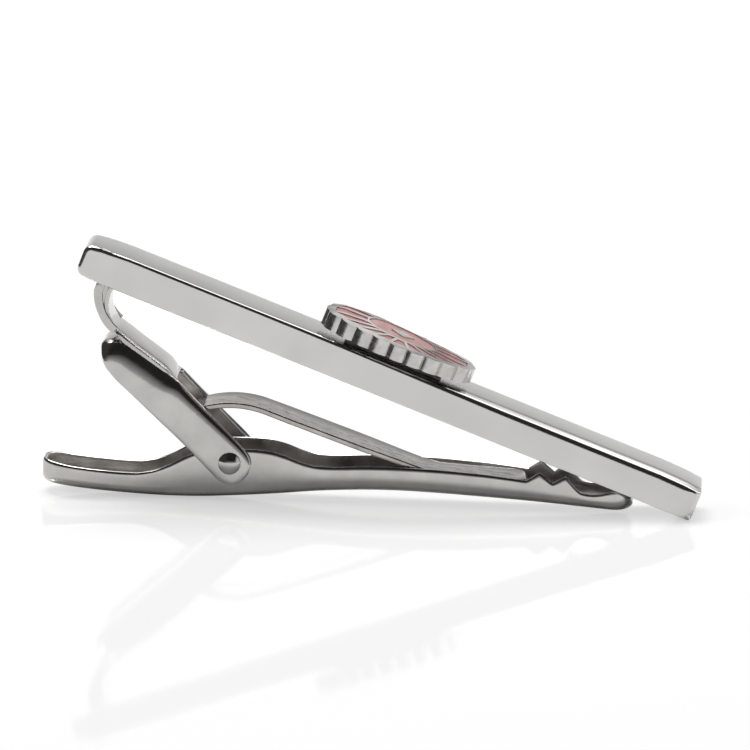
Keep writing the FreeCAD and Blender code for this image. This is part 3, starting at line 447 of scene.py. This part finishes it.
# jaw: one long trough with a thumb tail, pivot ears, two teeth on each wall and a rounded nose
# tables run from the tail to the nose
jawLook = {
    "start": -29.07, "end": 23.0, "sheet": 0.42, "rimCrease": 0.8, "rounding": 3,
    "sideRow": 0.45, "levels": [-0.3, 0.4], "hullIn": 1.3, "hullLeast": 0.45, "bilgeIn": 0.24, "bilgeUp": 0.46,
    "loops": [-28.7, -27.9, -26.7, -25.0, -22.5, -20.5, -19.0, -17.6, -16.3, -15.0, -13.4, -11.7, -10.0, -8.7,
              -7.5, -6.3, -5.0, -3.4, -1.0, 2.0, 6.0, 10.0, 12.5, 13.4, 13.65, 13.9, 14.55, 14.8, 15.05, 15.7,
              15.95, 16.2, 16.85, 17.1, 17.35, 18.15, 18.45, 19.3, 20.2, 21.0, 21.6, 22.3, 22.8],
    "half": [(-29.07, 0.95), (-28.7, 1.65), (-27.9, 2.15), (-26.7, 2.4), (-25.0, 2.46), (20.2, 2.46),
             (21.0, 2.42), (21.6, 2.28), (22.3, 1.85), (22.8, 1.3), (23.0, 0.7)],
    "low": [(-29.07, 1.1), (-28.7, 0.82), (-27.9, 0.63), (-25.0, 0.34), (-22.0, 0.13), (-19.0, 0.02),
            (-17.2, 0.0), (-15.0, 0.05), (-13.0, 0.16), (-10.5, 0.36), (-8.0, 0.58), (-5.0, 0.92), (-2.0, 1.15),
            (0.9, 1.27), (4.0, 1.25), (8.0, 1.07), (13.4, 0.8), (16.5, 0.61), (20.0, 0.36), (21.6, 0.24),
            (22.3, 0.31), (22.8, 0.54), (23.0, 0.8)],
    "hull": [(-29.07, 0.75), (-27.9, 0.88), (-20.0, 0.9), (-12.0, 1.0), (13.0, 1.0), (18.9, 0.85), (22.3, 0.75),
             (23.0, 0.3)],
    "shoulder": [(-29.07, 2.5), (-22.5, 1.85), (-20.5, 1.8), (-17.6, 2.6), (-15.0, 3.9), (-13.4, 4.2),
                 (-10.0, 4.2), (-7.5, 3.7), (-5.0, 2.85), (2.0, 3.05), (10.0, 2.85), (13.65, 2.5), (17.1, 2.15),
                 (18.9, 1.6), (19.4, 1.5), (21.3, 1.75), (23.0, 1.3)],
    "high": [(-29.07, 3.12), (-27.9, 2.95), (-26.7, 2.75), (-25.0, 2.57), (-22.5, 2.4), (-20.5, 2.36),
             (-19.0, 2.66), (-17.6, 3.3), (-16.3, 4.08), (-15.0, 4.62), (-13.4, 4.87), (-10.0, 4.87),
             (-8.7, 4.75), (-7.5, 4.4), (-6.3, 3.92), (-5.0, 3.58), (-3.4, 3.54), (-1.0, 3.7), (2.0, 3.78),
             (6.0, 3.69), (10.0, 3.43), (12.5, 3.17), (13.65, 3.04), (14.8, 3.84), (15.95, 2.88), (17.1, 3.6),
             (18.15, 2.34), (18.45, 2.08), (19.3, 1.98), (20.2, 2.04), (21.0, 2.3), (21.6, 2.38), (22.3, 2.12),
             (23.0, 1.6)],
}
jawRows = ("half", "low", "hull", "shoulder", "high")
hullLevel, shoulderLevel = jawLook["levels"]
shape = startCage(jawLook)
bmesh.ops.delete(shape, geom=[face for face in shape.faces if face.normal.z > 0.5], context="FACES")
for vert in shape.verts:
    reach, side, level = vert.co
    half, low, hull, shoulder, high = (readTable(jawLook[row], reach) for row in jawRows)
    height = readTable([(-1, low), (hullLevel, low + hull), (shoulderLevel, shoulder), (1, high)], level)
    across = half if abs(side) > outerRow else max(half - jawLook["hullIn"], half * jawLook["hullLeast"])
    if abs(side) > outerRow and level < -outerRow:
        # the row between belly and wall, drawn in so that the hull is round
        across, height = across * (1 - jawLook["bilgeIn"]), height + hull * jawLook["bilgeUp"]
    vert.co = mm(reach, across if side > 0 else -across, height)
bmesh.ops.recalc_face_normals(shape, faces=shape.faces)
jaw = addPiece("jaw_arm_plated", shape, claspPlate, "jaw", "jaw_arm")
sheetMetal(jaw, jawLook, insidePlate)
rounded(jaw, jawLook["rounding"])
print("jaw made")


# hinge rivet: one turned profile, a dome at each end
rivetLook = {"shank": 0.6, "ball": 1.3, "edgeTurn": 52, "top": 3.55, "domeSteps": 10, "turnSteps": 48,
             "mergeWithin": 0.002}
shape = bmesh.new()
domeEnd = []
for step in range(rivetLook["domeSteps"], -1, -1):
    angle = radians(rivetLook["edgeTurn"]) * step / rivetLook["domeSteps"]
    domeEnd.append((rivetLook["ball"] * sin(angle), rivetLook["top"] - rivetLook["ball"] * (1 - cos(angle))))
domeEnd.insert(0, (rivetLook["shank"], domeEnd[0][1]))
outline = [(radius, -place) for radius, place in reversed(domeEnd)] + domeEnd
points = [shape.verts.new(mm(radius, place, 0)) for radius, place in outline]
for pair in zip(points, points[1:]):
    shape.edges.new(pair)
bmesh.ops.spin(shape, geom=shape.verts[:] + shape.edges[:], cent=(0, 0, 0), axis=(0, 1, 0), angle=2 * pi,
               steps=rivetLook["turnSteps"], use_merge=True)
bmesh.ops.remove_doubles(shape, verts=shape.verts, dist=mm(rivetLook["mergeWithin"]))
bmesh.ops.recalc_face_normals(shape, faces=shape.faces)
bmesh.ops.translate(shape, vec=mm(*bracketLook["pivot"]), verts=shape.verts)
rivet = addPiece("hinge_rivet_domed", shape, claspPlate, "front", "hinge_rivet")
evenLight(rivet)
print("rivet made")


# neck strap: flat on the bracket, then curved up to the bar, with a flange along each side of the curve
# a row of the seat is its place along the strap, its top, its underside and half its width
# the other tables run by degrees round the curve
neckLook = {
    "bend": (-16.975, 10.853), "seatTurn": 35.2, "reach": 6.7, "sheet": 0.4, "radius": 2.7, "turn": 75.1,
    "straight": 0.75, "steps": 16, "breakDepth": 0.45, "easeWidth": 0.1, "easeAngle": 40, "easeSteps": 3,
    "seat": [(0.3, -0.1, -0.5, 1.9), (0.8, 0.12, -0.4, 2.3), (1.5, 0.3, -0.25, 2.5), (2.2, 0.33, -0.25, 2.5),
             (4.8, 0.35, -0.25, 2.5), (6.0, 0.4, -0.25, 2.5)],
    "half": [(0, 2.45), (6, 2.3), (12, 2.15)],
    "edgeBreak": [(0, 0.45), (20, 0.3)],
    "flangeFrom": 9.0, "flangeEdge": 2.5, "flangeSheet": 0.5, "flangeFoot": 0.1, "crevice": 0.36,
    "flangeIn": [(9, -0.08), (30, 0.03), (54, 0.36), (70, 0.6), (75, 0.72)],
    "flangeOut": [(9, 0.57), (29, 0.74), (45, 0.9), (59, 1.16), (69, 1.37), (75, 1.5)],
    # faces of the crevice beside each flange take the solder finish, dark as painted shade of that crevice
    "solderShadeFrom": 2.302, "solderShadeTo": 2.49, "solderShadeFacing": 0.7,
}
seatTurn, lean = radians(neckLook["seatTurn"]), radians(barLook["lean"])
along, over = Vector((-cos(seatTurn), 0, sin(seatTurn))), Vector((sin(seatTurn), 0, cos(seatTurn)))
seatPoint = Vector((neckLook["bend"][0], 0, neckLook["bend"][1]))
neckCentre = seatPoint + along * neckLook["reach"] + over * (neckLook["radius"] + neckLook["sheet"])
rise = Vector((sin(lean), 0, cos(lean))) * neckLook["straight"]
neckTurns = [neckLook["turn"] * step / neckLook["steps"] for step in range(neckLook["steps"] + 1)]


def onNeck(turn, depth):
    # point of the side view round the neck's curve, this far out from its inner face
    return neckCentre - Matrix.Rotation(radians(turn), 3, "Y") @ over * (neckLook["radius"] + depth)


def growBar(shape, rings):
    # a solid drawn through rings of points, one extrusion after another
    face = shape.faces.new([shape.verts.new(point / 1000) for point in rings[0]])
    start = face.verts[:]
    for ring in rings[1:]:
        face = bmesh.ops.extrude_discrete_faces(shape, faces=[face])["faces"][0]
        for vert, point in zip(face.verts, ring):
            vert.co = point / 1000
    shape.faces.new(reversed(start))


def strapSection(upper, lower, half, turn):
    # one section of the strap, its two upper edges broken
    flatHalf = half - readTable(neckLook["edgeBreak"], turn)
    side, flat = Vector((0, half, 0)), Vector((0, flatHalf, 0))
    shoulder = upper.lerp(lower, neckLook["breakDepth"])
    return [upper - flat, upper + flat, shoulder + side, lower + side, lower - side, shoulder - side]


shape = bmesh.new()
rings = []
for reach, top, bottom, half in neckLook["seat"]:
    foot = seatPoint + along * reach
    rings.append(strapSection(foot + over * top, foot + over * bottom, half, 0))
for turn in neckTurns:
    half = readTable(neckLook["half"], turn)
    rings.append(strapSection(onNeck(turn, 0), onNeck(turn, neckLook["sheet"]), half, turn))
rings.append([point + rise for point in rings[-1]])
growBar(shape, rings)
flangeTurns = [neckLook["flangeFrom"]] + [turn for turn in neckTurns if turn > neckLook["flangeFrom"] + 1]
for side in (-1, 1):
    rings = []
    for turn in flangeTurns:
        near, far = readTable(neckLook["flangeIn"], turn), readTable(neckLook["flangeOut"], turn)
        foot, sheet, crevice = min(neckLook["flangeFoot"], near), neckLook["flangeSheet"], neckLook["crevice"]
        section = [(near, 0), (far, 0), (far, sheet), (foot, sheet), (foot, crevice), (near, crevice)]
        rings.append([onNeck(turn, depth) + Vector((0, side * (neckLook["flangeEdge"] - inset), 0))
                      for depth, inset in section])
    rings.append([point + rise for point in rings[-1]])
    growBar(shape, rings)
bmesh.ops.recalc_face_normals(shape, faces=shape.faces)
for face in shape.faces:
    # the narrow band beside each flange, where solder gathers, dark as painted shade of the crevice
    spot = face.calc_center_median() * 1000
    inward = ((neckCentre - spot) * Vector((1, 0, 1))).normalized()
    inBand = neckLook["solderShadeFrom"] < abs(spot.y) < neckLook["solderShadeTo"]
    if inBand and face.normal.dot(inward) > neckLook["solderShadeFacing"]:
        face.material_index = 1
neck = addPiece("neck_strap_plated", shape, claspPlate, "front", "neck_strap")
neck.data.materials.append(solderAndShadePlate)
easeEdges(neck, neckLook["easeWidth"], angle=neckLook["easeAngle"], segments=neckLook["easeSteps"])
print("neck made")


# leaf spring: a strip bent round its hump, down to the jaw, along it as a lid and over into a lip
leafLook = {
    "humpCentre": (-12.25, -0.05), "humpRadius": 8.75, "hookTurn": 28.5, "fall": 19.1, "sheet": 0.5,
    "knee": (5.006, 3.234), "kneeRadius": 8.0, "lidFall": 3.4736, "lidLength": 7.0,
    "lipRound": 0.6, "lipFoot": 1.35,
    "humpSteps": 22, "fallSteps": 12, "kneeSteps": 8, "lidSteps": 8, "lipSteps": 6, "footSteps": 2,
    "halfWidth": [(-16.5, 2.3), (-15.3, 2.3), (-15.0, 2.1), (-9.4, 2.15), (-7.0, 2.25), (-1.0, 2.25),
                  (2.8, 1.95), (13.0, 1.95), (13.4, 1.0)],
    "easeWidth": 0.16, "easeAngle": 40, "easeSteps": 4,
}


def bendStrip(shape, edge, centre, turn, steps):
    # spins the strip's end edge about a point of the side view; returns the new end edge
    made = bmesh.ops.spin(shape, geom=edge, cent=mm(centre[0], 0, centre[1]), axis=(0, 1, 0), angle=radians(turn),
                          steps=steps)
    return [item for item in made["geom_last"] if isinstance(item, bmesh.types.BMEdge)]


def runStrip(shape, edge, end, steps):
    # extrudes the strip's end edge straight to a point of the side view; returns the new end edge
    for step in range(steps):
        made = bmesh.ops.extrude_edge_only(shape, edges=edge)["geom"]
        ends = [item for item in made if isinstance(item, bmesh.types.BMVert)]
        edge = [item for item in made
                if isinstance(item, bmesh.types.BMEdge) and all(vert in ends for vert in item.verts)]
        gap = mm(end[0], 0, end[1]) - sum((vert.co for vert in ends), Vector()) / 2
        bmesh.ops.translate(shape, vec=gap / (steps - step), verts=ends)
    return edge


shape = bmesh.new()
fall, lidFall, hook = (radians(leafLook[key]) for key in ("fall", "lidFall", "hookTurn"))
humpX, humpZ = leafLook["humpCentre"]
kneeX, kneeZ = leafLook["knee"]
humpRadius, kneeRadius, lipRound = leafLook["humpRadius"], leafLook["kneeRadius"], leafLook["lipRound"]
startX, startZ = humpX - humpRadius * sin(hook), humpZ + humpRadius * cos(hook)
edge = [shape.edges.new([shape.verts.new(mm(startX, side, startZ)) for side in (-1, 1)])]
edge = bendStrip(shape, edge, (humpX, humpZ), leafLook["hookTurn"] + leafLook["fall"], leafLook["humpSteps"])
run = kneeRadius * tan((fall - lidFall) / 2)  # from the knee's point back to where its bend starts
fallX, fallZ = kneeX - run * cos(fall), kneeZ + run * sin(fall)
edge = runStrip(shape, edge, (fallX, fallZ), leafLook["fallSteps"])
edge = bendStrip(shape, edge, (fallX + kneeRadius * sin(fall), fallZ + kneeRadius * cos(fall)),
                 leafLook["lidFall"] - leafLook["fall"], leafLook["kneeSteps"])
lid = run + leafLook["lidLength"]
lidX, lidZ = kneeX + lid * cos(lidFall), kneeZ - lid * sin(lidFall)
edge = runStrip(shape, edge, (lidX, lidZ), leafLook["lidSteps"])
edge = bendStrip(shape, edge, (lidX - lipRound * sin(lidFall), lidZ - lipRound * cos(lidFall)),
                 90 - leafLook["lidFall"], leafLook["lipSteps"])
lipX = lidX + lipRound * (1 - sin(lidFall))
runStrip(shape, edge, (lipX, leafLook["lipFoot"]), leafLook["footSteps"])
for vert in shape.verts:
    vert.co.y = mm(readTable(leafLook["halfWidth"], vert.co.x * 1000)) * (1 if vert.co.y > 0 else -1)
bmesh.ops.recalc_face_normals(shape, faces=shape.faces)
leaf = addPiece("leaf_spring_plated", shape, leafPlate, None, "leaf_spring")
strip = leaf.modifiers.new("sheet", "SOLIDIFY")
strip.thickness = mm(leafLook["sheet"])
strip.offset = 0
strip.use_even_offset = True
easeEdges(leaf, leafLook["easeWidth"], angle=leafLook["easeAngle"], segments=leafLook["easeSteps"])
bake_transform(leaf)
print("leaf made")


# emblem: the struck plaque and its enamel fills, raised to a low cushion that is highest towards the left
emblemLook = {
    "middle": 28.6, "back": 3.6, "thickness": 1.25, "half": 3.3, "grid": 0.4, "gridSteps": 18,
    "rise": [(-7.2, 0.3), (-5.5, 0.7), (-2.5, 0.85), (1.0, 0.65), (4.0, 0.35), (7.2, 0.05)],
    "crest": [(-3.3, 0), (-2.7, 0.1), (0.6, 0.9), (1.2, 1.0), (1.9, 0.85), (3.3, 0)],
    "sharp": 32, "fillBreak": 0.03, "mergeWithin": 0.002, "flatWithin": 0.6,
}


def cushion(node):
    # a merged copy of the CAD shape, cut into a fine grid and lifted along the bar's upright
    shape = bmesh.new()
    shape.from_mesh(nodes[node].data)
    bmesh.ops.remove_doubles(shape, verts=shape.verts, dist=mm(emblemLook["mergeWithin"]))
    bmesh.ops.dissolve_limit(shape, angle_limit=radians(emblemLook["flatWithin"]), verts=shape.verts,
                             edges=shape.edges)
    bmesh.ops.transform(shape, matrix=barPlace.inverted(), verts=shape.verts)
    count = emblemLook["gridSteps"]
    steps = [step * emblemLook["grid"] for step in range(-count, count + 1)]
    cutLoops(shape, (1, 0, 0), [mm(emblemLook["middle"] + step) for step in steps])
    cutLoops(shape, (0, 1, 0), [mm(step) for step in steps if abs(step) < emblemLook["half"]])
    for vert in shape.verts:
        reach, side, height = vert.co * 1000
        lift = readTable(emblemLook["crest"], side) * readTable(emblemLook["rise"], reach - emblemLook["middle"])
        vert.co.z += mm(lift * (height - emblemLook["back"]) / emblemLook["thickness"])
    bmesh.ops.transform(shape, matrix=barPlace, verts=shape.verts)
    for edge in shape.edges:
        edge.smooth = edge.calc_face_angle(0) < radians(emblemLook["sharp"])
    return shape


plaqueShape, raysShape, centerShape = (cushion(node) for node in ("emblem_plaque", "enamel_rays", "enamel_center"))
plaque = addPiece("emblem_plaque_struck", plaqueShape, plaquePlate, "front", "emblem_plaque")
evenLight(plaque)
rays = addPiece("enamel_rays_filled", raysShape, pinkEnamel, "front", "enamel_rays")
center = addPiece("enamel_center_filled", centerShape, paleEnamel, "front", "enamel_center")
for fill in (rays, center):
    easeEdges(fill, emblemLook["fillBreak"])
# painted shade: the pad under the plaque takes the dark solder finish, to stand for the shade in the gap beneath
# it
nodes["emblem_pad"].data.materials.clear()
nodes["emblem_pad"].data.materials.append(solderAndShadePlate)
print("emblem made")


# studio: a white sheet, seen white by the lens, with the object's shadow and a faint mirror image
floorLook = {"size": 450, "glow": 0.65, "tone": "#f4f4f4", "lensTone": "#a9a9a9", "gloss": 0.2, "haze": 0.06}
floorMesh = bpy.data.meshes.new("floor")
shape = bmesh.new()
bmesh.ops.create_grid(shape, x_segments=1, y_segments=1, size=mm(floorLook["size"]))
shape.to_mesh(floorMesh)
shape.free()
floor = bpy.data.objects.new("floor", floorMesh)
bpy.context.scene.collection.objects.link(floor)

# acrylic: matt white under a weak, slightly blurred mirror image; the metal mirrors it without its glow
floorSheet, tree = newMaterial("white_acrylic_sheet")
seen = addNode(tree, "ShaderNodeLightPath")
glow = addNode(tree, "ShaderNodeEmission", {"Color": (1, 1, 1, 1), "Strength": floorLook["glow"]})
lensMatt = addNode(tree, "ShaderNodeBsdfDiffuse", {"Color": toLinear(floorLook["lensTone"])})
lensLit = addNode(tree, "ShaderNodeAddShader", _0=glow.outputs["Emission"], _1=lensMatt.outputs["BSDF"])
matt = addNode(tree, "ShaderNodeBsdfDiffuse", {"Color": toLinear(floorLook["tone"])})
lit = addNode(tree, "ShaderNodeMixShader", _0=seen.outputs["Is Camera Ray"], _1=matt.outputs["BSDF"],
              _2=lensLit.outputs["Shader"])
sheen = addNode(tree, "ShaderNodeBsdfGlossy", {"Roughness": floorLook["haze"]})
mixed = addNode(tree, "ShaderNodeMixShader", {0: floorLook["gloss"]}, _1=lit.outputs["Shader"],
                _2=sheen.outputs["BSDF"])
addNode(tree, "ShaderNodeOutputMaterial", Surface=mixed.outputs["Shader"])
floorMesh.materials.append(floorSheet)

# surroundings that the metal mirrors, by the turn from the back over the top to the lens's side:
# pale sweep behind, bright soft box above it, dark room; the walls at both sides come in by X
roomLook = {
    "room": [(0.0, 0.40), (0.04, 0.373), (0.07, 0.318), (0.10, 0.218), (0.13, 0.12), (0.155, 0.40), (0.20, 0.45),
             (0.25, 1.0), (0.41, 1.0), (0.44, 0.45), (0.46, 0.014), (0.91, 0.01), (1.0, 0.23)],
    "wall": [(0.4, 0.025), (0.6, 0.34)],
    "wallPart": [(0.22, 1.0), (0.36, 0.0), (0.84, 0.0), (0.94, 1.0)],
    "mirrored": 2.2, "ambient": 0.3, "white": 1.0,
}
world = bpy.data.worlds.new("studio")
bpy.context.scene.world = world
world.use_nodes = True
tree = world.node_tree
tree.nodes.clear()
heading = addNode(tree, "ShaderNodeSeparateXYZ", Vector=addNode(tree, "ShaderNodeTexCoord").outputs["Generated"])
swing = addNode(tree, "ShaderNodeMath", {"operation": "ARCTAN2"}, _0=heading.outputs["Z"], _1=heading.outputs["Y"])
turn = addNode(tree, "ShaderNodeMath", {"operation": "DIVIDE", 1: pi}, _0=swing.outputs["Value"])
room = addNode(tree, "ShaderNodeValToRGB", {"stops": roomLook["room"]}, Fac=turn.outputs["Value"])
width = addNode(tree, "ShaderNodeMapRange", {"From Min": -1.0, "From Max": 1.0}, Value=heading.outputs["X"])
wall = addNode(tree, "ShaderNodeValToRGB", {"stops": roomLook["wall"]}, Fac=width.outputs["Result"])
wallPart = addNode(tree, "ShaderNodeValToRGB", {"stops": roomLook["wallPart"]}, Fac=width.outputs["Result"])
roomTone = addNode(tree, "ShaderNodeMix", {"data_type": "RGBA"}, _0=wallPart.outputs["Color"],
                   _6=room.outputs["Color"], _7=wall.outputs["Color"])
mirrored = addNode(tree, "ShaderNodeBackground", {"Strength": roomLook["mirrored"]}, Color=roomTone.outputs[2])
ambient = addNode(tree, "ShaderNodeBackground", {"Color": (1, 1, 1, 1), "Strength": roomLook["ambient"]})
white = addNode(tree, "ShaderNodeBackground", {"Color": (1, 1, 1, 1), "Strength": roomLook["white"]})
seen = addNode(tree, "ShaderNodeLightPath")
softOrMirror = addNode(tree, "ShaderNodeMixShader", _0=seen.outputs["Is Glossy Ray"],
                       _1=ambient.outputs["Background"], _2=mirrored.outputs["Background"])
final = addNode(tree, "ShaderNodeMixShader", _0=seen.outputs["Is Camera Ray"], _1=softOrMirror.outputs["Shader"],
                _2=white.outputs["Background"])
addNode(tree, "ShaderNodeOutputWorld", Surface=final.outputs["Shader"])

# soft boxes: a large one above that the metal mirrors, and a weak one from the left that it does not
lampLook = {
    "top_box": {"place": (-200, 500, 1300), "aim": (0, 40, 0), "size": (1000, 800), "watts": 19, "mirrored": True},
    "left_box": {"place": (-1100, -300, 700), "aim": (0, 0, 0), "size": (600, 600), "watts": 6, "mirrored": False},
}
for name, look in lampLook.items():
    lamp = bpy.data.lights.new(name, "AREA")
    lamp.shape = "RECTANGLE"
    lamp.size, lamp.size_y = mm(look["size"][0]), mm(look["size"][1])
    lamp.energy = look["watts"]
    holder = bpy.data.objects.new(name, lamp)
    bpy.context.scene.collection.objects.link(holder)
    holder.visible_glossy = look["mirrored"]
    away = (mm(*look["place"]) - mm(*look["aim"])).normalized()
    aimed = away.to_track_quat("Z", "Y").to_matrix().to_4x4()
    holder.matrix_world = Matrix.Translation(mm(*look["place"])) @ aimed

# camera at the photograph's angle, with its slight roll
cameraLook = {
    "azimuth": 3.4, "elevation": 13.3, "roll": 1.4, "distance": 600, "target": (0.02, 0, 11.44),
    "pixelsPerMm": 11.4, "pixels": 750, "sensor": 36, "clip": (0.01, 20),
}
azimuth, elevation, roll = (radians(cameraLook[key]) for key in ("azimuth", "elevation", "roll"))
back = Vector((sin(azimuth) * cos(elevation), -cos(azimuth) * cos(elevation), sin(elevation)))
level = Vector((cos(azimuth), sin(azimuth), 0))
upright = back.cross(level)
across = level * cos(roll) + upright * sin(roll)
above = upright * cos(roll) - level * sin(roll)
lens = bpy.data.cameras.new("camera")
lens.sensor_width = cameraLook["sensor"]
lens.lens = cameraLook["sensor"] * cameraLook["distance"] * cameraLook["pixelsPerMm"] / cameraLook["pixels"]
lens.clip_start, lens.clip_end = cameraLook["clip"]
camera = bpy.data.objects.new("camera", lens)
bpy.context.scene.collection.objects.link(camera)
stand = mm(*cameraLook["target"]) + back * mm(cameraLook["distance"])
turned = Matrix((across, above, back)).transposed().to_4x4()
camera.matrix_world = Matrix.Translation(stand) @ turned
bpy.context.scene.camera = camera
bpy.context.scene.view_settings.view_transform = "Standard"
print("stage set")
